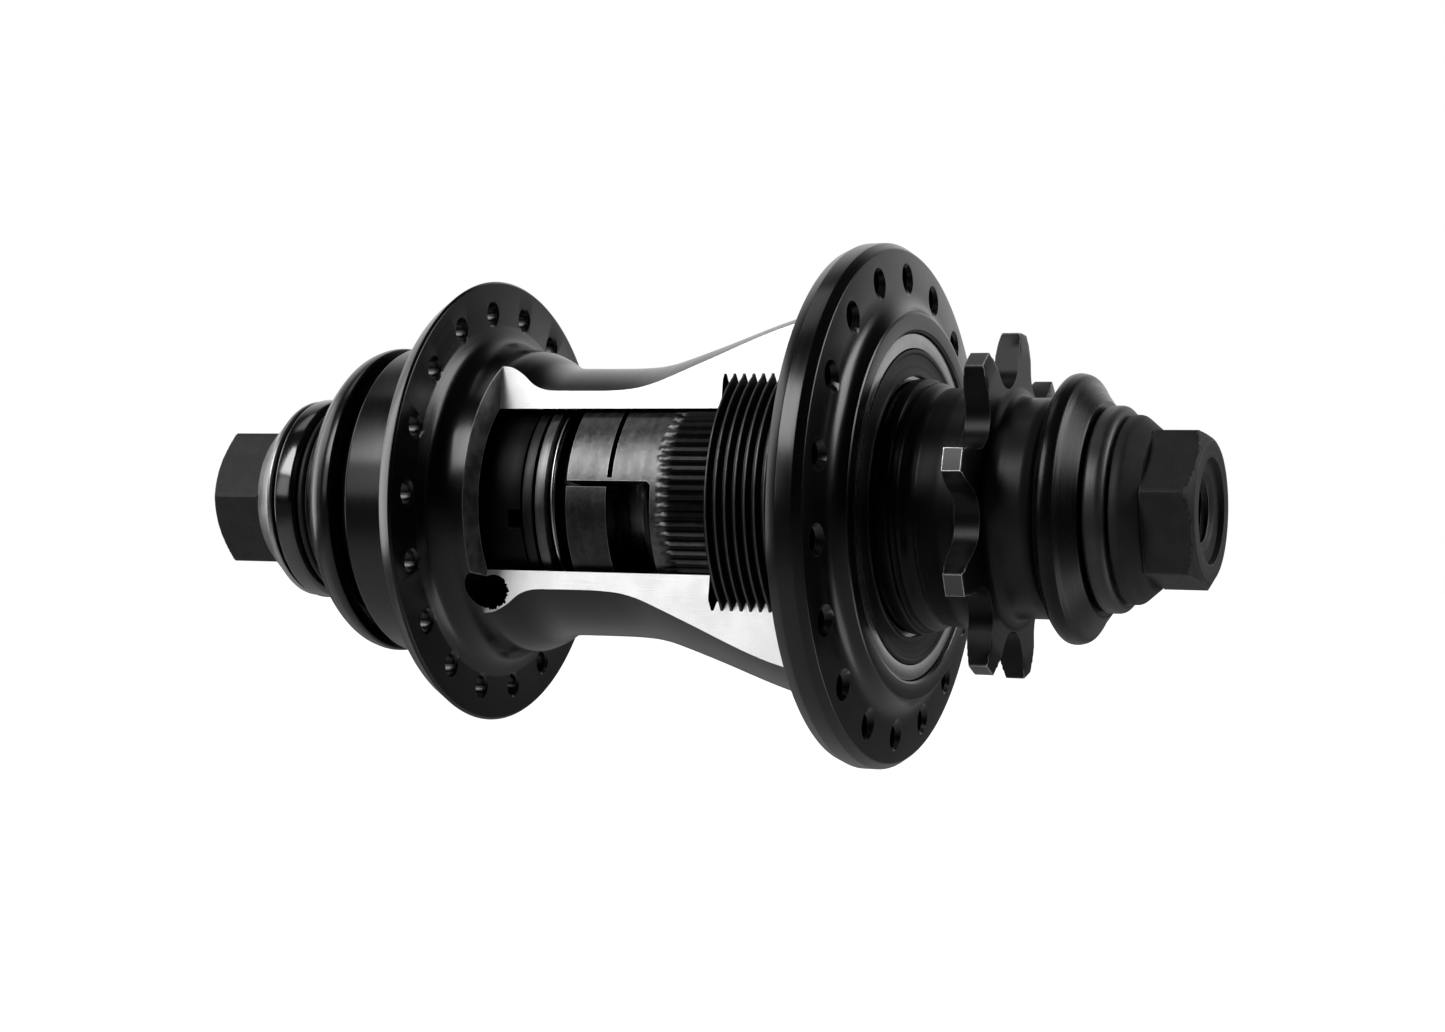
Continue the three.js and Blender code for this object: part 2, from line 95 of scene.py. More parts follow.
def revolved(outline, angles=None, shape=None):
    """A mesh turned about Y from a closed outline. shape(r, y, angle) may change a point's radius."""
    angles = angles or [2 * math.pi * i / STEPS for i in range(STEPS)]
    bm = bmesh.new()
    rings = []
    for angle in angles:
        c, s = math.cos(angle), math.sin(angle)
        ring = []
        for r, y in outline:
            r = shape(r, y, angle) if shape else r
            ring.append(bm.verts.new((r * c * MM, y * MM, r * s * MM)))
        rings.append(ring)
    size = len(outline)
    for i, ring in enumerate(rings):
        after = rings[(i + 1) % len(rings)]
        for k in range(size):
            bm.faces.new((ring[k], ring[(k + 1) % size], after[(k + 1) % size], after[k]))
    bmesh.ops.remove_doubles(bm, verts=bm.verts, dist=1e-7)
    bmesh.ops.recalc_face_normals(bm, faces=bm.faces)
    return bm


def as_object(bm, name):
    mesh = bpy.data.meshes.new(name)
    bm.to_mesh(mesh)
    bm.free()
    obj = bpy.data.objects.new(name, mesh)
    bpy.context.scene.collection.objects.link(obj)
    return obj


def joined(meshes):
    """Several bmeshes as one."""
    whole = bmesh.new()
    for bm in meshes:
        part = bpy.data.meshes.new("part")
        bm.to_mesh(part)
        bm.free()
        whole.from_mesh(part)
        bpy.data.meshes.remove(part)
    return whole


def carved(piece, cutter, operation="DIFFERENCE"):
    modifier = piece.modifiers.new("carve", "BOOLEAN")
    modifier.operation, modifier.object, modifier.solver = operation, cutter, "MANIFOLD"
    bpy.context.view_layer.update()
    shaped = piece.evaluated_get(bpy.context.evaluated_depsgraph_get())
    mesh = bpy.data.meshes.new_from_object(shaped)
    piece.modifiers.clear()
    piece.data = mesh
    bpy.data.objects.remove(cutter)
    return piece


def finished(obj, node, *materials, sharp=32):
    """Gives a piece its materials and edges, and lets it stand for its CAD node."""
    obj.data.materials.clear()
    for m in materials:
        obj.data.materials.append(m)
    obj.data.shade_smooth()
    obj.data.set_sharp_from_angle(angle=math.radians(sharp))
    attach(obj, body_of[node])
    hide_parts(node)
    return obj


def span(node):
    """(lowest y, highest y, radius) of a round CAD node, in millimetres."""
    low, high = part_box(node)
    return low.y / MM, high.y / MM, high.x / MM


def turned_piece(node, outline, material, angles=None, shape=None, ease=0.12, sharp=32):
    bm = revolved(eased(outline, ease), angles, shape)
    return finished(as_object(bm, node + "_look"), node, material, sharp=sharp)


# ---- materials -----------------------------------------------------------------------------------
class Graph:
    """A small helper that builds a node tree by nested calls."""

    def __init__(self, tree):
        self.tree = tree

    def add(self, kind, inputs=(), out=0, **settings):
        node = self.tree.nodes.new(kind)
        for key, value in settings.items():
            setattr(node, key, value)
        for key, value in dict(inputs).items():
            if isinstance(value, bpy.types.NodeSocket):
                self.tree.links.new(value, node.inputs[key])
            else:
                node.inputs[key].default_value = value
        return node.outputs[out]

    def math(self, operation, a, b=0.0, c=0.0):
        return self.add("ShaderNodeMath", {0: a, 1: b, 2: c}, operation=operation)

    def ramp(self, value, low, high, to_low=0.0, to_high=1.0):
        return self.add(
            "ShaderNodeMapRange", {0: value, 1: low, 2: high, 3: to_low, 4: to_high},
            interpolation_type="SMOOTHSTEP",
        )

    def mix(self, factor, a, b):
        return self.add("ShaderNodeMix", {0: factor, 6: a, 7: b}, out=2, data_type="RGBA")

    def noise(self, vector, scale, detail=3.0, roughness=0.55):
        values = {"Vector": vector, "Scale": scale, "Detail": detail, "Roughness": roughness}
        return self.add("ShaderNodeTexNoise", values)

    def round_coordinates(self):
        """(millimetre position, radius, y, angle) sockets about the axle."""
        position = self.add("ShaderNodeTexCoord", out="Object")
        scaled = self.add("ShaderNodeVectorMath", {0: position, 1: (1000, 1000, 1000)}, operation="MULTIPLY")
        split = self.tree.nodes.new("ShaderNodeSeparateXYZ")
        self.tree.links.new(scaled, split.inputs[0])
        x, y, z = split.outputs
        radius = self.math("SQRT", self.math("ADD", self.math("MULTIPLY", x, x), self.math("MULTIPLY", z, z)))
        return scaled, radius, y, self.math("ARCTAN2", z, x)

    def turning_marks(self, radius, y, angle, fineness):
        """Noise that runs round the axle, as a lathe tool leaves it."""
        marks = self.add(
            "ShaderNodeCombineXYZ",
            {0: self.math("MULTIPLY", radius, fineness), 1: self.math("MULTIPLY", y, fineness),
             2: self.math("MULTIPLY", angle, 0.6)},
        )
        return self.noise(marks, 1.0, 2.0)

    def worn_edges(self, width, low=0.015, high=0.09):
        """1 on convex or concave edges of the piece, 0 elsewhere."""
        rounded = self.add("ShaderNodeBevel", {"Radius": width * MM}, samples=6)
        flat = self.add("ShaderNodeNewGeometry", out="Normal")
        along = self.add("ShaderNodeVectorMath", {0: rounded, 1: flat}, out="Value", operation="DOT_PRODUCT")
        return self.ramp(self.math("SUBTRACT", 1.0, along), low, high)


def grey(value, warmth=0.0):
    return (value * (1 + warmth), value, value * (1 - warmth), 1.0)


def new_material(name):
    material = bpy.data.materials.new(name)
    material.use_nodes = True
    tree = material.node_tree
    shader = tree.nodes["Principled BSDF"]
    return material, Graph(tree), shader


def coated(name, colour, roughness, marks=6.0, bump=0.01, edge=None, edge_width=0.1, edge_amount=0.6,
           spread=0.06, metallic=0.0, specular=0.28, mottle=0.25, worn_where=None, rubbed=None):
    """A black or grey finish on turned metal: turning marks, blotches and edges rubbed to the metal.
    worn_where scales the wear by place, and rubbed gives the least wear at a place."""
    material, g, shader = new_material(name)
    position, radius, y, angle = g.round_coordinates()
    lines = g.turning_marks(radius, y, angle, marks)
    blotch = g.noise(position, 0.35, 4.0)
    grain = g.noise(position, 9.0, 3.0, 0.7)
    tone = g.ramp(blotch, 0.35, 0.7, 1 - mottle, 1 + mottle)
    base = g.add("ShaderNodeVectorMath", {0: grey(colour)[:3], 3: tone}, operation="SCALE")
    rough = g.math("ADD", g.ramp(lines, 0.3, 0.7, roughness - spread, roughness + spread),
                   g.ramp(grain, 0.3, 0.7, -spread / 2, spread / 2))
    if edge:
        worn = g.math("MULTIPLY", g.worn_edges(edge_width), g.ramp(grain, 0.35, 0.6, 0.45, edge_amount))
        if worn_where:
            worn = g.math("MULTIPLY", worn, worn_where(g, radius, y))
        if rubbed:
            worn = g.math("MAXIMUM", worn, rubbed(g, radius, y))
        base = g.mix(worn, base, grey(edge))
        g.tree.links.new(g.math("MULTIPLY", worn, 0.9), shader.inputs["Metallic"])
    else:
        shader.inputs["Metallic"].default_value = metallic
    height = g.math("ADD", g.math("MULTIPLY", lines, 0.7), g.math("MULTIPLY", grain, 0.3))
    normal = g.add("ShaderNodeBump", {"Height": height, "Strength": 0.5, "Distance": bump * MM})
    g.tree.links.new(base, shader.inputs["Base Color"])
    g.tree.links.new(rough, shader.inputs["Roughness"])
    g.tree.links.new(normal, shader.inputs["Normal"])
    shader.inputs["Specular IOR Level"].default_value = specular
    return material


def bare_metal(name, colour, roughness, marks=8.0, bump=0.006, metallic=1.0, mottle=0.12, spread=0.08):
    return coated(name, colour, roughness, marks, bump, None, 0.1, 0.0, spread, metallic, 0.5, mottle)


def milled_aluminium():
    """Cut faces: straight milling marks along the axle, faint scratches and smears."""
    material, g, shader = new_material("cut_aluminium")
    position = g.round_coordinates()[0]
    stretched = g.add("ShaderNodeVectorMath", {0: position, 1: (0.25, 0.25, 7.0)}, operation="MULTIPLY")
    lines = g.noise(stretched, 1.0, 3.0)
    smear = g.noise(position, 0.22, 5.0, 0.6)
    scratch = g.add(
        "ShaderNodeVectorMath", {0: position, 1: (1.0, 2.2, 0.7)}, operation="MULTIPLY")
    nick = g.noise(scratch, 1.6, 6.0, 0.75)
    tone = g.math("MULTIPLY", g.ramp(smear, 0.36, 0.66, 0.9, 1.0), g.ramp(nick, 0.3, 0.44, 0.93, 1.0))
    base = g.add("ShaderNodeVectorMath", {0: grey(0.93)[:3], 3: tone}, operation="SCALE")
    height = g.math("ADD", lines, g.math("MULTIPLY", nick, 0.5))
    normal = g.add("ShaderNodeBump", {"Height": height, "Strength": 0.6, "Distance": 0.02 * MM})
    g.tree.links.new(base, shader.inputs["Base Color"])
    g.tree.links.new(g.ramp(lines, 0.3, 0.7, 0.38, 0.52), shader.inputs["Roughness"])
    g.tree.links.new(normal, shader.inputs["Normal"])
    shader.inputs["Metallic"].default_value = 0.5
    return material


def ground_steel():
    """The clutch: a scratched steel skin, darker towards the knurl, with painted shade inside the ring and on
    the lower front of the drag arm.
    """
    material, g, shader = new_material("clutch_steel")
    position, radius, y, angle = g.round_coordinates()
    lines = g.turning_marks(radius, y, angle, 3.0)
    skin = g.noise(position, 1.1, 8.0, 0.72)
    pits = g.noise(position, 4.0, 4.0, 0.8)
    stretched = g.add("ShaderNodeVectorMath", {0: position, 1: (0.3, 0.7, 0.25)}, operation="MULTIPLY")
    smear = g.noise(stretched, 1.0, 2.0)
    tone = g.math("MULTIPLY", g.ramp(skin, 0.3, 0.68, 0.7, 1.15), g.ramp(pits, 0.28, 0.42, 0.7, 1.0))
    tone = g.math("MULTIPLY", tone, g.ramp(smear, 0.35, 0.65, 0.75, 1.1))
    knurled = g.ramp(g.math("ADD", y, g.math("MULTIPLY", skin, 1.6)), 1.6, 3.2)
    # painted shade: the lower front of the drag arm, below the split, is darkened as if in shadow
    below_split = g.math("MULTIPLY", g.ramp(angle, 0.2, 0.19), g.ramp(angle, -1.3, -1.2))
    painted_shade_on_arm = g.math("MULTIPLY", below_split, g.ramp(y, -5.3, -5.4))
    knurl_tone_and_painted_shade = g.math("MAXIMUM", g.math("MULTIPLY", knurled, 0.93), g.math("MULTIPLY", painted_shade_on_arm, 0.55))
    # painted shade: faces inside the ring, within 13.9 mm of the axle, are darkened as if in shadow
    knurl_tone_and_painted_shade = g.math("MAXIMUM", knurl_tone_and_painted_shade, g.ramp(radius, 13.4, 13.9, 0.96, 0.0))
    tone = g.math("MULTIPLY", tone, g.math("SUBTRACT", 1.0, knurl_tone_and_painted_shade))
    base = g.add("ShaderNodeVectorMath", {0: grey(0.08)[:3], 3: tone}, operation="SCALE")
    height = g.math("ADD", skin, g.math("MULTIPLY", lines, 0.35))
    normal = g.add("ShaderNodeBump", {"Height": height, "Strength": 0.6, "Distance": 0.05 * MM})
    worn = g.math("MULTIPLY", g.worn_edges(0.16), g.ramp(knurled, 0.0, 1.0, 0.5, 0.06))
    g.tree.links.new(g.mix(worn, base, grey(0.3)), shader.inputs["Base Color"])
    g.tree.links.new(g.ramp(skin, 0.3, 0.7, 0.3, 0.4), shader.inputs["Roughness"])
    g.tree.links.new(normal, shader.inputs["Normal"])
    shader.inputs["Metallic"].default_value = 0.9
    return material


def thread_black():
    """Black steel whose flat thread crests are rubbed bright."""
    material, g, shader = new_material("thread_black")
    position, radius, y, angle = g.round_coordinates()
    grain = g.noise(position, 6.0, 4.0, 0.7)
    patch = g.noise(position, 0.5, 3.0)
    crest = g.math("MULTIPLY", g.ramp(radius, 18.32, 18.38), g.ramp(patch, 0.3, 0.55, 0.55, 1.0))
    tone = g.ramp(grain, 0.3, 0.7, 0.7, 1.3)
    base = g.add("ShaderNodeVectorMath", {0: grey(0.002)[:3], 3: tone}, operation="SCALE")
    g.tree.links.new(g.mix(g.math("MULTIPLY", crest, 0.5), base, grey(0.14)), shader.inputs["Base Color"])
    g.tree.links.new(g.math("MULTIPLY", crest, 0.8), shader.inputs["Metallic"])
    g.tree.links.new(g.ramp(grain, 0.3, 0.7, 0.33, 0.47), shader.inputs["Roughness"])
    normal = g.add("ShaderNodeBump", {"Height": grain, "Strength": 0.5, "Distance": 0.02 * MM})
    g.tree.links.new(normal, shader.inputs["Normal"])
    shader.inputs["Specular IOR Level"].default_value = 0.2
    return material


# places for wear, each a factor by radius and y
def on_teeth(g, radius, y):
    return g.ramp(radius, 19.4, 20.4, 0.1, 1.0)


def on_tips_and_shoulder(g, radius, y):
    return g.math("MAXIMUM", g.ramp(radius, 20.6, 20.85, 0.0, 0.08), g.ramp(y, 41.5, 41.8, 0.0, 0.014))


def on_recess(g, radius, y):
    return g.ramp(radius, 6.6, 7.0, 1.0, 0.35)


ANODISED = coated("black_anodised", 0.002, 0.23, 5.0, 0.003, 0.3, 0.08, 0.35, spread=0.02, specular=0.36)
GLOSS_BLACK = coated("gloss_black", 0.002, 0.14, 5.0, 0.003, 0.4, 0.08, 0.35, spread=0.02, specular=0.8)
BARE = milled_aluminium()
# The window's end walls: the bare aluminium of the cut faces painted dark as shade, with their edges painted
# bright as a highlight line.
PAINTED_SHADE_WALL = coated("cut_wall_painted_shade", 0.11, 0.5, 6.0, 0.01, 0.95, 0.4, 1.0, spread=0.08, mottle=0.5, specular=0.5)
DRIVER_BLACK = coated("black_driver", 0.003, 0.34, 5.0, 0.004, 0.8, 0.16, 1.0, spread=0.03, specular=0.14,
                      worn_where=on_teeth, rubbed=on_tips_and_shoulder)
CAP_BLACK = coated("black_cap", 0.003, 0.27, 6.0, 0.004, 0.3, 0.1, 0.3, spread=0.03, specular=0.17)
BOLT_BLACK = coated("bolt_black", 0.01, 0.6, 7.0, 0.01, 0.4, 0.2, 0.5, worn_where=on_recess)
SPACER_GREY = coated("spacer_grey", 0.02, 0.42, 7.0, 0.01, 0.4, 0.08, 0.4, specular=0.4)
CLUTCH_STEEL = ground_steel()
THREAD_BLACK = thread_black()
RACE_STEEL = bare_metal("race_steel", 0.42, 0.28, spread=0.04, mottle=0.06)
WASHER_STEEL = bare_metal("washer_steel", 0.09, 0.35)
WASHER_GREY = bare_metal("washer_grey", 0.025, 0.4)
INSIDE_BLACK = coated("inside_black", 0.001, 0.45, 6.0, 0.006, 0.1, 0.1, 0.3, specular=0.1)
AXLE_STEEL = bare_metal("axle_steel", 0.4, 0.35)
RUBBER = coated("rubber_black", 0.006, 0.5, 2.0, 0.012, None, spread=0.04)
SILVER_FLANGE = bare_metal("silver_flange", 0.3, 0.35)
SPRING_STEEL = bare_metal("spring_steel", 0.6, 0.3)


# ---- the thread between shell and clutch ring ----------------------------------------------------
THREAD = {"pitch": 1.25, "crest": 18.4, "root": 17.5, "core": 17.35, "from": span("clutch_ring")[0],
          "fit": 0.07, "lead_in": 0.35}


def threaded(low, high, inner, grow, lead_in):
    """A helical outside thread between two y values. inner is the (radius, y) path that closes its back, grow
    makes the thread larger to cut its nut, and the thread fades out over lead_in at both ends."""
    pitch, crest, root, steps = THREAD["pitch"], THREAD["crest"] + grow, THREAD["root"] + grow, 240
    wide = grow / pitch
    tooth = [(0.0, root), (0.1 - wide, root), (0.22 - wide, root + 0.28), (0.34 - wide, root + 0.62),
             (0.43 - wide, crest - 0.02), (0.47 - wide, crest),
             (0.56 + wide, crest), (0.6 + wide, crest - 0.02),
             (0.69 + wide, root + 0.62), (0.81 + wide, root + 0.28), (0.93 + wide, root)]
    size = len(tooth)
    before = 2 + math.ceil((THREAD["from"] - low) / pitch)
    rows = (math.ceil((high - low) / pitch) + 3) * size

    def limit(y):
        inside = min(y - low, high - y)
        if inside >= lead_in:
            return crest + 1
        return THREAD["core"] + (crest - THREAD["core"] + 0.05) * math.sqrt(max(0.0, inside / lead_in))

    bm = bmesh.new()
    rings = []
    for i in range(steps):
        angle = 2 * math.pi * i / steps
        c, s = math.cos(angle), math.sin(angle)
        ring = []
        for k in range(rows + 1):
            along, r = tooth[k % size]
            y = THREAD["from"] + (k // size - before + along) * pitch - pitch * i / steps + pitch
            held = min(max(y, low), high)
            r = min(r, limit(held)) if held == y else THREAD["core"]
            ring.append(bm.verts.new((r * c * MM, held * MM, r * s * MM)))
        back = [bm.verts.new((r * c * MM, y * MM, r * s * MM)) for r, y, *_ in inner]
        rings.append((ring, back))

    for i in range(steps):
        ring, back = rings[i]
        after, after_back = rings[(i + 1) % steps]
        shift = size if i == steps - 1 else 0
        for k in range(rows):
            a, b = min(k - shift, rows), min(k + 1 - shift, rows)
            if a >= 0:
                bm.faces.new((ring[k], ring[k + 1], after[b], after[a]))
        chain = [ring[rows], *back, ring[0]]
        chain_after = [after[rows], *after_back, after[0]]
        for k in range(len(chain) - 1):
            bm.faces.new((chain[k], chain[k + 1], chain_after[k + 1], chain_after[k]))
    bmesh.ops.remove_doubles(bm, verts=bm.verts, dist=2e-7)
    bmesh.ops.recalc_face_normals(bm, faces=bm.faces)
    return bm


# ---- hub shell -----------------------------------------------------------------------------------
SPOKES = 18
SPOKE_HOLE_R = 1.35
DRIVE_FLANGE = {"r": 31.8, "inner": 21.9, "outer": 26.62, "hole_r": 27.8, "phase": 14, "sink": 0.6}
OTHER_FLANGE = {"r": 28.3, "inner": -28.2, "outer": -30.6, "hole_r": 24.2, "phase": 4, "sink": 0.25}
SHELL_END_R = 19.9
SHELL_BORE = {"r": 15.4, "thread_r": 17.62, "thread_y": (7.8, 20.0), "end_seat": (17.3, -32.0),
              "drive_seat": (21.06, 21.1)}
CUT = {"offset": 11.6, "tilt": math.radians(9.4), "from": -23.3, "to": 19.0}
cut_normal = Vector((math.cos(CUT["tilt"]), 0, math.sin(CUT["tilt"])))
cut_turn = Matrix.Rotation(-CUT["tilt"], 4, "Y")


def shell_outline():
    end, face = span("hub_shell")[:2]
    small_r, small_in, small_out = (OTHER_FLANGE[k] for k in ("r", "inner", "outer"))
    large_r, large_in, large_out = (DRIVE_FLANGE[k] for k in ("r", "inner", "outer"))
    barrel = flowing([
        (22.8, small_in), (20.8, -27.4), (19.75, -25.8), (19.42, -23.6), (19.2, -21.9), (18.5, -20.3),
        (17.5, -18.7), (17.02, -16.8), (16.95, -14), (16.93, -11), (16.95, -8), (17.12, -5), (17.55, -2.5),
        (18.26, 0), (19.22, 3), (20.22, 6), (21.27, 9), (22.29, 12), (23.2, 15), (23.95, 18), (24.7, 20),
        (25.6, 21.3), (27.2, large_in)])
    dish = flowing([
        (27.2, large_out), (26, 26.72), (25, 27.0), (24.2, 27.5), (23.65, 28.15), (23.45, face - 0.12)], 4)
    end_seat_r, end_seat = SHELL_BORE["end_seat"]
    seat_r, seat = SHELL_BORE["drive_seat"]
    bore, thread_r, (thread_from, thread_to) = (SHELL_BORE[k] for k in ("r", "thread_r", "thread_y"))
    return [
        (end_seat_r, end, 0.3), (SHELL_END_R - 0.3, end, 0.15), (SHELL_END_R, end + 0.3, 0.2),
        (SHELL_END_R, small_out - 0.8, 0.3), (SHELL_END_R + 0.7, small_out, 0.2),
        (small_r - 1.4, small_out, 0.15), (small_r, small_in - 0.3, 0.15), (small_r - 0.3, small_in, 0.1),
        *barrel,
        (large_r - 0.6, large_in, 0.12), (large_r, large_in + 1.4, 0.12), (large_r, 25.3, 0.12),
        (large_r - 0.7, 26.3, 0.15),
        *dish, (23.2, face, 0.1), (seat_r + 0.24, face, 0.1), (seat_r, 28.5, 0.05),
        (seat_r, seat, 0.1), (18.7, seat), (thread_r, thread_to, 0), (thread_r, thread_from, 0),
        (bore, thread_from), (bore, end_seat), (end_seat_r, end_seat),
    ]


def spoke_cutters(flange):
    """Drilled holes, countersunk at both faces."""
    low, high = sorted((flange["inner"], flange["outer"]))
    sink = flange["sink"]
    mouth = SPOKE_HOLE_R + 1 + sink
    outline = [(0, low - 1), (mouth, low - 1), (SPOKE_HOLE_R, low + sink), (SPOKE_HOLE_R, high - sink),
               (mouth, high + 1), (0, high + 1)]
    for i in range(SPOKES):
        angle = math.radians(flange["phase"] + 360 * i / SPOKES)
        bm = revolved(outline, [2 * math.pi * k / 28 for k in range(28)])
        at = Vector((math.cos(angle), 0, math.sin(angle))) * flange["hole_r"] * MM
        bmesh.ops.translate(bm, verts=bm.verts, vec=at)
        yield bm


def window_cutter():
    depth = 30.0
    bm = bmesh.new()
    ends = (CUT["from"], CUT["to"])
    corners = [Vector((x, y, z)) for x in (0, depth) for y in ends for z in (-depth, depth)]
    verts = [bm.verts.new((cut_turn @ (c + Vector((CUT["offset"], 0, 0)))) * MM) for c in corners]
    for face in ((0, 1, 3, 2), (4, 6, 7, 5), (0, 4, 5, 1), (2, 3, 7, 6), (0, 2, 6, 4), (1, 5, 7, 3)):
        bm.faces.new([verts[i] for i in face])
    bmesh.ops.recalc_face_normals(bm, faces=bm.faces)
    return bm


CORNER_HOLE = {"r": 2.15, "y": -22.35, "z": -12.9, "depth": 4.0}


def corner_cutter():
    """The hole drilled square to the cut face at the window's corner, torn where the cut broke into it."""
    count, clear = 96, 8.0
    bm = bmesh.new()
    ends = []
    for x in (CUT["offset"] - CORNER_HOLE["depth"], CUT["offset"] + clear):
        ring = []
        for i in range(count):
            a = 2 * math.pi * i / count
            torn = 0.2 * math.sin(13 * a) * math.sin(5 * a + 1) + 0.12 * math.sin(29 * a)
            r = CORNER_HOLE["r"] + torn * max(0.0, math.cos(a + 0.5)) ** 0.5
            p = Vector((x, CORNER_HOLE["y"] + r * math.cos(a), CORNER_HOLE["z"] + r * math.sin(a)))
            ring.append(bm.verts.new((cut_turn @ p) * MM))
        ends.append(ring)
    bm.faces.new(ends[0])
    bm.faces.new(ends[1])
    for i in range(count):
        j = (i + 1) % count
        bm.faces.new((ends[0][i], ends[0][j], ends[1][j], ends[1][i]))
    bmesh.ops.recalc_face_normals(bm, faces=bm.faces)
    return bm


def make_shell():
    steps, tap_from, tap_to = 288, 7.0, 21.5
    angles = [2 * math.pi * i / steps for i in range(steps)]
    body = as_object(revolved(eased(shell_outline()), angles), "hub_shell_look")
    holes = joined([*spoke_cutters(DRIVE_FLANGE), *spoke_cutters(OTHER_FLANGE)])
    tap = threaded(tap_from, tap_to, [(0, tap_to, 0), (0, tap_from, 0)], THREAD["fit"], 0)
    carved(body, as_object(tap, "tap"))
    carved(body, as_object(holes, "holes"))
    carved(body, as_object(window_cutter(), "window"))
    carved(body, as_object(corner_cutter(), "corner"))
    finished(body, "hub_shell", ANODISED, BARE, PAINTED_SHADE_WALL)
    near = 0.02
    for face in body.data.polygons:
        centre = face.center / MM
        above_cut = centre.dot(cut_normal) - CUT["offset"]
        on_cut = abs(above_cut) < near and face.normal.dot(cut_normal) > 0.99
        on_end = abs(centre.y - CUT["from"]) < near and face.normal.y > 0.99
        on_far_end = abs(centre.y - CUT["to"]) < near and face.normal.y < -0.99
        on_wall = above_cut > -near and (on_end or on_far_end)
        # index 2 gives the window's end walls the aluminium with painted shade
        face.material_index = 1 if on_cut else 2 if on_wall else 0


make_shell()


# ---- clutch ring ---------------------------------------------------------------------------------
def make_clutch_ring():
    y0, y1 = span("clutch_ring")[:2]
    bore = [(THREAD["core"], y1, 0), (14.3, y1), (13.9, y1 - 0.5), (13.85, y1 - 1.0), (15.35, y0 + 1.9),
            (15.35, y0 + 0.3), (15.65, y0), (THREAD["core"], y0, 0)]
    bm = threaded(y0, y1, eased(bore)[1:-1], 0, THREAD["lead_in"])
    finished(as_object(bm, "clutch_ring_look"), "clutch_ring", THREAD_BLACK, sharp=50)


make_clutch_ring()


# ---- pieces built from cells round the axle: clutch and spacer cup -------------------------------
def cells(angles, ys, outer_r, inner_r, is_open, moved=lambda angle, y: (angle, y)):
    """A tube of cells with some left out. Angles are in degrees, walls close every opening, and moved shifts
    the points of the grid."""
    bm = bmesh.new()
    made = {}

    def vertex(side, i, j):
        key = (side, i % len(angles), j)
        if key not in made:
            angle, y = moved(angles[i % len(angles)], ys[j])
            r = (outer_r, inner_r)[side](angle, y)
            a = math.radians(angle)
            made[key] = bm.verts.new((r * math.cos(a) * MM, y * MM, r * math.sin(a) * MM))
        return made[key]

    def solid(i, j):
        if not 0 <= j < len(ys) - 1:
            return False
        i %= len(angles)
        a = angles[i]
        b = angles[(i + 1) % len(angles)]
        middle = (a + (b if b > a else b + 360)) / 2
        return not is_open(middle % 360, (ys[j] + ys[j + 1]) / 2)

    for i in range(len(angles)):
        for j in range(len(ys) - 1):
            if not solid(i, j):
                continue
            corners = ((i, j), (i + 1, j), (i + 1, j + 1), (i, j + 1))
            bm.faces.new([vertex(0, *c) for c in corners])
            bm.faces.new([vertex(1, *c) for c in reversed(corners)])
            for n, (di, dj) in enumerate(((0, -1), (1, 0), (0, 1), (-1, 0))):
                if not solid(i + di, j + dj):
                    a, b = corners[n], corners[(n + 1) % 4]
                    bm.faces.new((vertex(0, *b), vertex(0, *a), vertex(1, *a), vertex(1, *b)))
    bmesh.ops.recalc_face_normals(bm, faces=bm.faces)
    return bm


def soften(bm, width, angle=50):
    edges = [e for e in bm.edges if len(e.link_faces) == 2 and e.calc_face_angle() > math.radians(angle)]
    bmesh.ops.bevel(
        bm, geom=edges, offset=width * MM, segments=2, profile=0.5, affect="EDGES", clamp_overlap=True)


def snapped(angles, marks):
    """The angles with the nearest one moved to each mark."""
    angles = list(angles)
    for mark in marks:
        i = min(range(len(angles)), key=lambda k: abs(angles[k] - mark))
        angles[i] = mark
    return angles


HELIX = {"lead": 12.0, "starts": 2, "root": 10.75, "height": 0.85, "crest_at": 0.45, "root_at": 0.95}


def helix_turn(y, angle):
    """Place within one turn of the coarse thread between driver and clutch, 0 to 1, at an angle in radians."""
    return ((y / HELIX["lead"] + angle / (2 * math.pi)) * HELIX["starts"]) % 1


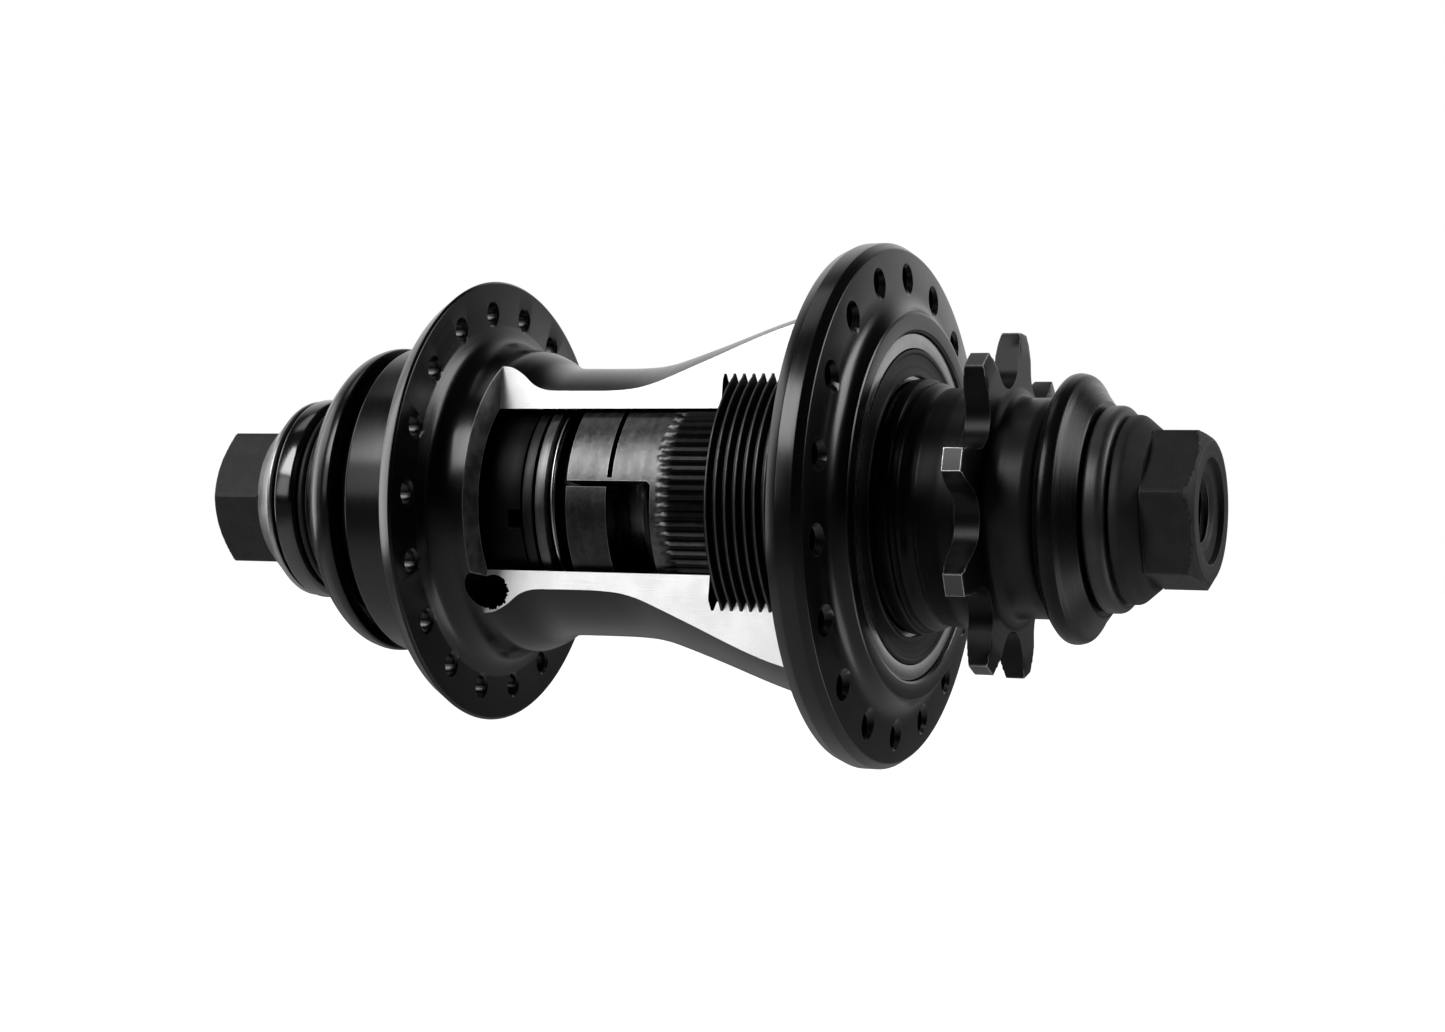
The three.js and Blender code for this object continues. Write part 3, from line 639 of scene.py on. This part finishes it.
def make_clutch():
    y0, y1, _ = span("clutch")
    teeth, depth, body_r, bore = 76, 0.38, 14.6, 11.3
    arm_end, slit_end, window_end, knurl_end, arm_bore = -6.2, -5.5, -0.3, 9.0, 12.0
    arm_top, split, bridge, window_from = 9.5, 12.4, 13.9, 289
    angles = snapped([i * 360 / (teeth * 6) for i in range(teeth * 6)],
                     (arm_top, split, bridge, window_from, window_from + 1))
    ys = [y0, y0 + 1.8, y0 + 3.6, arm_end, slit_end, -3.9, -2.1]
    ys += [window_end - 0.16 * k for k in range(6, -1, -1)] + [window_end + 0.3 * k for k in range(1, 9)]
    ys += [2.55, *[3 + 0.5 * k for k in range(12)], knurl_end - 0.1, knurl_end]
    ys += [*[knurl_end + 0.5 + 0.5 * k for k in range(15)], y1]

    def outer(angle, y):
        if y > knurl_end + 0.05:
            return body_r - 1.45 * (y - knurl_end) / 8
        wander = 0.5 * math.sin(math.radians(angle) * 9) + 0.35 * math.sin(math.radians(angle) * 23 + 1)
        start = 0.75 + 0.35 * wander
        phase = (angle * teeth / 360) % 1
        groove = max(0.0, 1 - abs(phase - 0.5) / 0.32)
        grown = min(1.0, max(0.0, (y - start) / 1.3))
        lip = math.exp(-((y - start - 0.1) / 0.28) ** 2) * (0.5 + 0.5 * math.cos(2 * math.pi * phase)) * 0.16
        return body_r + 0.08 * grown - depth * groove * grown + lip

    def inner(angle, y):
        if y < slit_end + 0.01:
            return arm_bore
        from_ridge = abs((helix_turn(y, math.radians(angle)) - HELIX["root_at"] + 0.5) % 1 - 0.5)
        return bore + 0.6 * min(1.0, max(0.0, (from_ridge - 0.12) / 0.1))

    def is_open(angle, y):
        if y < arm_end and arm_top < angle < split:
            return True
        if slit_end > y > arm_end and (angle < split or angle > bridge):
            return True
        across, along = corner_offset(angle, y)
        if angle < split and across > 0 and along > 0 and math.hypot(across, along) > corner_r:
            return False
        return arm_end < y < window_end and (angle > window_from or angle < split)

    corner_r = 0.8

    def corner_offset(angle, y):
        return math.radians(angle - split) * body_r + corner_r, y - window_end + corner_r

    def rounding(angle, y):
        """Moves grid points near the window's rounded corner onto its arc."""
        across, along = corner_offset(angle, y)
        away = math.hypot(across, along)
        if 0 < across < corner_r + 0.01 and 0 < along < corner_r + 0.01 and abs(away - corner_r) < 0.13:
            across, along = across * corner_r / away, along * corner_r / away
            return split + math.degrees((across - corner_r) / body_r), window_end - corner_r + along
        return angle, y

    bm = cells(angles, ys, outer, inner, is_open, rounding)
    finished(as_object(bm, "clutch_look"), "clutch", CLUTCH_STEEL, sharp=40)


def make_spacer_cup():
    y0, y1, _ = span("spacer_cup")
    notch_from, notch_to, notch = 348.4, 357.8, y1 - 1.8
    angles = snapped([k * 2.0 for k in range(180)], (notch_from, notch_to))
    ys = [y0, y0 + 3.1, -25, -22, notch, y1]
    outside, wall, bore = 14.0, 12.1, 9.0

    def inner(angle, y):
        return bore if y < y0 + 3.05 else wall

    bm = cells(angles, ys, lambda a, y: outside, inner, lambda a, y: y > notch and notch_from < a < notch_to)
    soften(bm, 0.12)
    finished(as_object(bm, "spacer_cup_look"), "spacer_cup", INSIDE_BLACK, sharp=40)


make_clutch()
make_spacer_cup()


# ---- driver --------------------------------------------------------------------------------------
COG = {"teeth": 9, "pitch": 12.7, "roller_r": 3.98, "tip_r": 20.9, "y0": 38.4, "y1": 41.4, "phase": 17}


def cog_reach(angle):
    """Radius of the cog's edge at an angle: round seats for the chain's rollers and flat tips."""
    step = 2 * math.pi / COG["teeth"]
    pitch_r = COG["pitch"] / (2 * math.sin(step / 2))
    off = (angle - math.radians(COG["phase"])) % step
    off = min(off, step - off)
    half_tip, seat_end = 0.065, math.radians(68)
    if off <= half_tip:
        return COG["tip_r"]
    flank_angle = math.atan2(
        COG["roller_r"] * math.sin(seat_end), pitch_r - COG["roller_r"] * math.cos(seat_end))
    from_valley = step / 2 - off
    if from_valley <= flank_angle:
        across = pitch_r * math.sin(from_valley)
        return pitch_r * math.cos(from_valley) - math.sqrt(max(0.0, COG["roller_r"] ** 2 - across ** 2))
    seat_r = pitch_r * math.cos(flank_angle) - math.sqrt(
        max(0.0, COG["roller_r"] ** 2 - (pitch_r * math.sin(flank_angle)) ** 2))
    share = (from_valley - flank_angle) / (step / 2 - half_tip - flank_angle)
    return seat_r + (COG["tip_r"] - seat_r) * share


def make_driver():
    y0, y1 = COG["y0"], COG["y1"]
    step = 360 / COG["teeth"]
    angles = []
    for tooth in range(COG["teeth"]):
        middle = COG["phase"] + tooth * step
        for k in [-20, *range(-19, -4), -3.95, -3.72, -2, 0, 2, 3.72, 3.95, *range(5, 20)]:
            angles.append(math.radians(middle + k))
    plate = [(r, y0, 0) for r in (15.2, 15.8, 16.4, 17, 17.6, 18.2)]
    bevel = [(18.6, y0 + 0.02, 0), (19.2, y0 + 0.08, 0), (19.8, y0 + 0.16, 0), (20.4, y0 + 0.26, 0),
             (21.1, y0 + 0.38, 0)]
    far = [(r, y1 - (y - y0), 0) for r, y, _ in reversed([*plate, *bevel])]
    outline = [
        (9, 20, 0), (10.7, 20, 0), (10.75, 20.3), (14.85, 20.6), (14.85, 28.85), (15.4, 28.9, 0.08),
        (15.4, 30.35, 0.15), (14.75, 30.5, 0.08), (14.72, 31.2, 0.08), (14.95, 31.3, 0.05), (14.9, 31.7, 0.1),
        (14.25, 32.4, 0.4), (14.1, 33.1, 0.1), (14.32, 33.2, 0.05), (14.3, 33.55, 0.1), (14.35, 34.2, 0.4),
        (14.42, 35.2, 0.8), (14.6, 36.3, 0.9), (14.62, 37.7, 0.5), (14.75, y0, 0),
        *plate, *bevel, (21.1, y0 + 1.5, 0), *far,
        (14.3, y1, 0.3), (13.35, y1 + 0.45, 0.5), (13.1, y1 + 1.2, 0.5), (13.1, 45.7, 0.3), (12.7, 46.5, 0.2),
        (12, 46.9), (11.15, 46.9), (11.15, 41.5), (9.9, 41.5), (9.9, 26.6), (12.15, 26.6), (12.15, 21),
        (9, 21, 0),
    ]

    def shape(r, y, angle):
        return min(r, cog_reach(angle)) if y0 - 0.01 < y < y1 + 0.01 and r > 14.9 else r

    body = revolved(eased(outline), angles, shape)
    finished(as_object(joined([body, helix_nose()]), "driver_look"), "driver", DRIVER_BLACK, sharp=35)


def helix_nose():
    """The two-start screw that carries the clutch."""
    y0, y1 = -3.0, 20.4
    steps, root = 96, HELIX["root"]
    rows = [y0 + (y1 - y0) * k / 90 for k in range(91)]
    outline = [(9, y1), (9, y0), *[(root, y) for y in rows]]

    def shape(r, y, angle):
        if r < 10:
            return r
        if y < y0 + 0.6 or y > y1 - 0.6:
            return root
        from_crest = abs(helix_turn(y, angle) - HELIX["crest_at"])
        return root + HELIX["height"] * min(1.0, max(0.0, (0.3 - from_crest) / 0.08))

    return revolved(outline, [2 * math.pi * i / steps for i in range(steps)], shape)


make_driver()


# ---- axle bolts ----------------------------------------------------------------------------------
HEX_FLAT = 8.5
BOLT_HOLE = {"r": 3.5, "depth": 11, "pitch": 1.25}


def make_bolt(node, side, phase, flange, cone, chamfer, flange_material):
    """side is +1 on the drive side and -1 on the other, and phase is the angle of a hexagon corner. flange is
    (radius, thickness of its rim) and cone is (radius, y) of the cone's small end."""
    low, high, _ = span(node)
    end = high if side > 0 else -low
    face, (flange_r, rim), (cone_r, seat) = 55.3, flange, cone
    steps = 192
    angles = [math.radians(phase) + 2 * math.pi * i / steps for i in range(steps)]
    hole_r, shank_r, tip, corner_r = BOLT_HOLE["r"], 4.9, 33, 9.81
    slope = [(9.85 - 1.75 * k / 8, end - chamfer + chamfer * k / 8, 0) for k in range(9)]
    bore = [(hole_r, end - 1.5 - 0.16 * k, 0) for k in range(50)]
    hexagon = [(corner_r, seat + 0.02 + (end - chamfer - seat) * k / 6, 0) for k in range(1, 6)]
    outline = [
        (0, tip), (shank_r - 0.6, tip), (shank_r, tip + 0.6), (shank_r, face),
        (flange_r - 0.2, face, 0.15), (flange_r, face + 0.2, 0.15), (flange_r, face + rim, min(0.4, rim / 2)),
        (cone_r, seat - 0.1, 0.1), (cone_r - 0.3, seat, 0.05), (cone_r - 0.35, seat + 0.01, 0),
        (corner_r, seat + 0.02, 0), *hexagon, *slope,
        (6.25, end, 0.06), (6.05, end - 0.75, 0.1), (4.4, end - 0.8, 0.2), (hole_r + 0.25, end - 1.3, 0.05),
        *bore, (hole_r, end - BOLT_HOLE["depth"] + 1, 0), (0, end - BOLT_HOLE["depth"], 0),
    ]

    def shape(r, y, angle):
        if y > seat + 0.005 and r > 8.0:
            off = (angle - math.radians(phase)) % (math.pi / 3) - math.pi / 6
            return min(r, HEX_FLAT / math.cos(off), 9.72)
        if abs(r - hole_r) < 1e-6 and y < end - 1.4:
            turn = (y / BOLT_HOLE["pitch"] + angle / (2 * math.pi)) % 1
            return hole_r - 0.05 + abs(turn - 0.5)
        return r

    bm = revolved(eased(outline), angles, shape)
    if side < 0:
        bmesh.ops.rotate(bm, verts=bm.verts, cent=(0, 0, 0), matrix=Matrix.Rotation(math.pi, 3, "Z"))
    obj = finished(as_object(bm, node + "_look"), node, BOLT_BLACK, flange_material, sharp=30)
    for polygon in obj.data.polygons:
        on_flange = abs(polygon.center.y) / MM < seat
        polygon.material_index = 1 if flange_material is not BOLT_BLACK and on_flange else 0


make_bolt("axle_bolt_drive", 1, 14.3, (11.1, 1.2), (9.5, 58.5), 1.1, BOLT_BLACK)
make_bolt("axle_bolt_other_side", -1, -2.3, (12.9, 0.6), (9.6, 59.6), 1.05, SILVER_FLANGE)


# ---- caps, spacers and seals ---------------------------------------------------------------------
def make_rings():
    bore = 7.4
    low, high, r = span("dust_cap_drive")
    turned_piece("dust_cap_drive", [
        (bore, low), (13.3, low, 0.3), (13.5, low + 0.15, 0.1), (15.0, low + 0.3, 0.4),
        (15.9, low + 1.0, 0.5), (r, low + 1.75, 0.7), (15.75, high - 2.1, 0.5), (15.0, high - 1.75, 0.5),
        (12.95, high - 0.2, 0.15), (12.7, high, 0.1), (bore, high)], CAP_BLACK)
    low, high, r = span("clamp_spacer_drive")
    turned_piece("clamp_spacer_drive", [
        (bore, low), (r - 0.35, low, 0.3), (r, low + 0.35, 0.3), (r, high - 0.6, 0.5), (r - 0.7, high, 0.4),
        (10.6, high, 0.2), (10.2, high - 0.3, 0.2), (bore, high - 0.3)], SPACER_GREY)
    low, high, r = span("end_cap")
    turned_piece("end_cap", [
        (bore, low), (13.5, low, 0.15), (13.75, low + 0.25, 0.1), (15.0, low + 0.4, 0.5),
        (15.25, low + 0.75, 0.1), (16.7, low + 1.3, 0.9), (18.2, low + 2.45, 1.0), (19.35, low + 3.8, 1.0),
        (r, low + 5.2, 0.6), (r, high - 0.2, 0.15), (19.6, high, 0.1), (18.0, high, 0.1), (17.6, -43.6),
        (15.4, -45.1), (bore, -45.3)], ANODISED)
    low, high, r = span("cone_other_side")
    turned_piece("cone_other_side", [
        (bore, low), (12.6, low, 0.25), (13.15, low + 0.5, 0.2), (r, low + 1.6, 0.8),
        (13.15, high - 0.35, 0.3), (12.6, high, 0.15), (bore, high)], GLOSS_BLACK)
    low, high, r = span("end_cap_washer")
    turned_piece("end_cap_washer", [
        (bore, low), (r - 0.3, low, 0.2), (r, low + 0.3, 0.2), (r, high - 0.3, 0.2), (r - 0.35, high, 0.2),
        (bore, high)], CAP_BLACK)
    low, high, r = span("o_ring")
    wire = (high - low) / 2
    turned_piece("o_ring", [
        (r - wire + wire * math.cos(a), (low + high) / 2 + wire * math.sin(a), 0)
        for a in (2 * math.pi * k / 16 for k in range(16))], RUBBER)
    for node, inner_r, material in (
        ("end_cap_seal", 10.0, RUBBER), ("thrust_washer_left", 12.0, WASHER_GREY),
        ("thrust_washer_right", 12.0, WASHER_STEEL), ("driver_bearing_spacer", 7.3, BOLT_BLACK),
        ("end_bearing_spacer", 7.3, BOLT_BLACK), ("drag_sleeve", 8.9, INSIDE_BLACK),
    ):
        low, high, r = span(node)
        turned_piece(node, [(inner_r, low), (r, low, 0.15), (r, high, 0.15), (inner_r, high)], material)
    low, high, r = span("axle")
    turned_piece("axle", [
        (0, -30), (5.2, -29), (5.2, low, 0.3), (6.5, low), (7, low + 0.5), (7, -28, 0.1), (r, -28, 0.3),
        (r, 21, 0.3), (7, 21, 0.1), (7, high - 0.5), (6.5, high), (5.2, high, 0.3), (5.2, 29), (0, 30)],
        AXLE_STEEL)


make_rings()


# ---- bearings ------------------------------------------------------------------------------------
# ball and pitch are radii; inner_y1 is where an inner race ends, if not level with the outer one
BEARINGS = {
    "shell": {"bore": 15, "outer": 21, "y0": 21.4, "y1": 28.3, "inner_y1": 28.05,
              "ball": 1.9, "pitch": 17.95, "count": 12},
    "end": {"bore": 7.3, "outer": 17, "y0": -39.3, "y1": -32.3, "ball": 2.6, "pitch": 12.1, "count": 10},
    "driver_inboard": {"bore": 7.3, "outer": 12, "y0": 21.3, "y1": 26.3,
                       "ball": 1.35, "pitch": 9.6, "count": 10},
    "driver_outboard": {"bore": 7.3, "outer": 11, "y0": 41.8, "y1": 46.4,
                        "ball": 1.15, "pitch": 9.15, "count": 10},
}


def make_race(node, bearing, side, back_r):
    y0, y1, pitch, ball = (bearing[k] for k in ("y0", "y1", "pitch", "ball"))
    middle = (y0 + y1) / 2
    if side < 0:
        y1 = bearing.get("inner_y1", y1)
    edge_r = pitch + side * ball * 0.6
    reach = ball * 1.12
    groove = []
    for k in range(13):
        a = math.radians(-60 + 10 * k)
        groove.append((max(edge_r * side, (pitch + side * reach * math.cos(a)) * side) * side,
                       middle + reach * math.sin(a), 0))
    turned_piece(node, [
        (back_r, y1, 0.35), (back_r, y0, 0.35), (edge_r, y0, 0.15), *groove, (edge_r, y1, 0.15)], RACE_STEEL)


def make_balls(node, bearing):
    pitch, ball, count = bearing["pitch"], bearing["ball"], bearing["count"]
    middle = (bearing["y0"] + bearing["y1"]) / 2
    around = [2 * math.pi * k / 20 for k in range(20)]
    half = [(ball * math.sin(a), middle - ball * math.cos(a)) for a in (math.pi * k / 12 for k in range(13))]
    parts = []
    for i in range(count):
        angle = 2 * math.pi * i / count
        bm = revolved([(0, y) if r < 1e-6 else (r, y) for r, y in half], around)
        at = Vector((math.sin(angle), 0, math.cos(angle))) * pitch * MM
        bmesh.ops.translate(bm, verts=bm.verts, vec=at)
        parts.append(bm)
    thick, wide = ball * 0.2, ball * 0.4
    cage = [(pitch - thick, middle - wide), (pitch + thick, middle - wide),
            (pitch + thick, middle + wide), (pitch - thick, middle + wide)]
    parts.append(revolved(eased(cage), [2 * math.pi * k / 96 for k in range(96)]))
    finished(as_object(joined(parts), node + "_look"), node, RACE_STEEL)


def make_seal(node, bearing, outside, inside, inner_r, material, lip=None):
    """lip is the (radius, y) of the step where a thin lip reaches over the inner race."""
    outer_r = bearing["pitch"] + bearing["ball"] * 0.6 - 0.1
    low, high = sorted((outside, inside))
    dip = 0.12 if outside > inside else -0.12
    back = [(inner_r, low, 0.1)]
    if lip:
        back = [(inner_r, lip[1], 0.02), (*lip, 0), (lip[0], low, 0.1)]
    turned_piece(node, [
        *back, (outer_r, low, 0.1), (outer_r, high, 0.12), (outer_r - 0.5, high, 0.08),
        (outer_r - 0.6, high - max(dip, 0), 0.08), (inner_r + 0.5, high - max(dip, 0), 0.1),
        (inner_r + 0.4, high, 0.08), (inner_r, high, 0.1)], material)


for title, bearing in BEARINGS.items():
    make_race(title + "_bearing_inner_race", bearing, -1, bearing["bore"])
    make_race(title + "_bearing_outer_race", bearing, 1, bearing["outer"])
    make_balls(title + "_bearing_balls", bearing)
make_seal("shell_bearing_seal", BEARINGS["shell"], 28.42, 27.5, 15.75, RUBBER, lip=(16.95, 28.12))
make_seal("end_bearing_seal", BEARINGS["end"], -39.2, -38.6, 10.8, RUBBER)
make_seal("driver_outboard_bearing_seal", BEARINGS["driver_outboard"], 46.3, 45.8, 8.7, RUBBER)


# ---- wire spring ---------------------------------------------------------------------------------
def make_spring():
    wire, coil_r, widen, turns, first = 0.17, 12.7, 1.0, 1.6, math.radians(-70)
    start, rise, wave = -14.2, 0.15, 0.35
    count, sides = 240, 12
    bm = bmesh.new()
    rings = []
    for i in range(count + 1):
        t = i / count
        angle = first + t * 2 * math.pi * turns
        out = Vector((math.cos(angle), 0, math.sin(angle)))
        along = start + (rise - wave * math.sin(angle)) * t
        centre = out * (coil_r + widen * t) + Vector((0, along, 0))
        small = wire * min(1.0, 0.6 + 8 * min(t, 1 - t))
        rings.append([
            bm.verts.new((centre + (out * math.cos(b) + Vector((0, 1, 0)) * math.sin(b)) * small) * MM)
            for b in (2 * math.pi * k / sides for k in range(sides))])
    for a, b in zip(rings, rings[1:]):
        for k in range(sides):
            bm.faces.new((a[k], a[(k + 1) % sides], b[(k + 1) % sides], b[k]))
    bm.faces.new(rings[0])
    bm.faces.new(rings[-1])
    bmesh.ops.recalc_face_normals(bm, faces=bm.faces)
    finished(as_object(bm, "drag_spring_look"), "drag_spring", SPRING_STEEL)


make_spring()


# ---- camera, light and floor ---------------------------------------------------------------------
CAMERA_AT = Vector((306.01, 139.44, 10.7)) * MM
LOOK_AT = Vector((0, 2.83, -1.49)) * MM
LENS = 67.02


def make_camera():
    data = bpy.data.cameras.new("camera")
    data.lens, data.sensor_width, data.clip_start, data.clip_end = LENS, 36.0, 0.01, 100.0
    camera = bpy.data.objects.new("camera", data)
    bpy.context.scene.collection.objects.link(camera)
    camera.location = CAMERA_AT
    camera.rotation_euler = (LOOK_AT - CAMERA_AT).to_track_quat("-Z", "Y").to_euler()
    bpy.context.scene.camera = camera


def softbox(name, direction, distance, size, power):
    """An area light that faces the hub from a direction. size is (width, height) in metres."""
    data = bpy.data.lights.new(name, "AREA")
    data.shape, (data.size, data.size_y), data.energy = "RECTANGLE", size, power
    light = bpy.data.objects.new(name, data)
    bpy.context.scene.collection.objects.link(light)
    light.location = Vector(direction).normalized() * distance
    light.rotation_euler = (-Vector(direction)).to_track_quat("-Z", "Y").to_euler()
    light.visible_camera = False


def make_world():
    """A white sweep behind the hub and a dim room on the other side; the camera sees plain white."""
    world = bpy.data.worlds.new("studio")
    bpy.context.scene.world = world
    world.use_nodes = True
    g = Graph(world.node_tree)
    direction = g.add("ShaderNodeTexCoord", out="Generated")
    away = (-0.91, -0.41, 0.0)
    behind = g.add("ShaderNodeVectorMath", {0: direction, 1: away}, out="Value", operation="DOT_PRODUCT")
    split = g.tree.nodes.new("ShaderNodeSeparateXYZ")
    g.tree.links.new(direction, split.inputs[0])
    above = g.ramp(split.outputs[2], 0.6, 1.0, 0.0, 0.04)
    room = g.math("ADD", g.ramp(behind, 0.45, 0.85, 0.006, 1.0), above)
    seen = g.add("ShaderNodeLightPath", out="Is Camera Ray")
    strength = g.math("MAXIMUM", room, seen)
    g.tree.links.new(strength, world.node_tree.nodes["Background"].inputs["Strength"])
    world.node_tree.nodes["Background"].inputs["Color"].default_value = (1, 1, 1, 1)


def make_floor():
    half, height = 6.0, -0.4
    bm = bmesh.new()
    corners = ((-half, -half), (half, -half), (half, half), (-half, half))
    bm.faces.new([bm.verts.new((x, y, height)) for x, y in corners])
    floor = as_object(bm, "floor")
    material, g, shader = new_material("pale_floor")
    shader.inputs["Base Color"].default_value = grey(0.6)
    shader.inputs["Roughness"].default_value = 0.9
    seen = g.add("ShaderNodeLightPath", out="Is Camera Ray")
    g.tree.links.new(seen, shader.inputs["Emission Strength"])
    shader.inputs["Emission Color"].default_value = (1, 1, 1, 1)
    floor.data.materials.append(material)


make_camera()
softbox("key", (0.68, -0.41, 0.61), 0.95, (0.45, 0.45), 6.4)
softbox("left", (0.8, -0.56, 0.22), 1.0, (0.3, 0.3), 0.6)
softbox("side", (0.0, -1.0, 0.2), 1.0, (0.6, 0.8), 4.5)
softbox("right", (-0.37, 0.83, 0.38), 1.0, (0.65, 0.35), 5.0)
softbox("top", (-0.1, -0.4, 0.9), 1.0, (0.4, 0.4), 0.6)
softbox("low", (-0.37, 0.83, -0.45), 0.7, (0.25, 0.25), 0.4)
make_world()
make_floor()
view = bpy.context.scene.view_settings
view.view_transform, view.look = "Standard", "None"
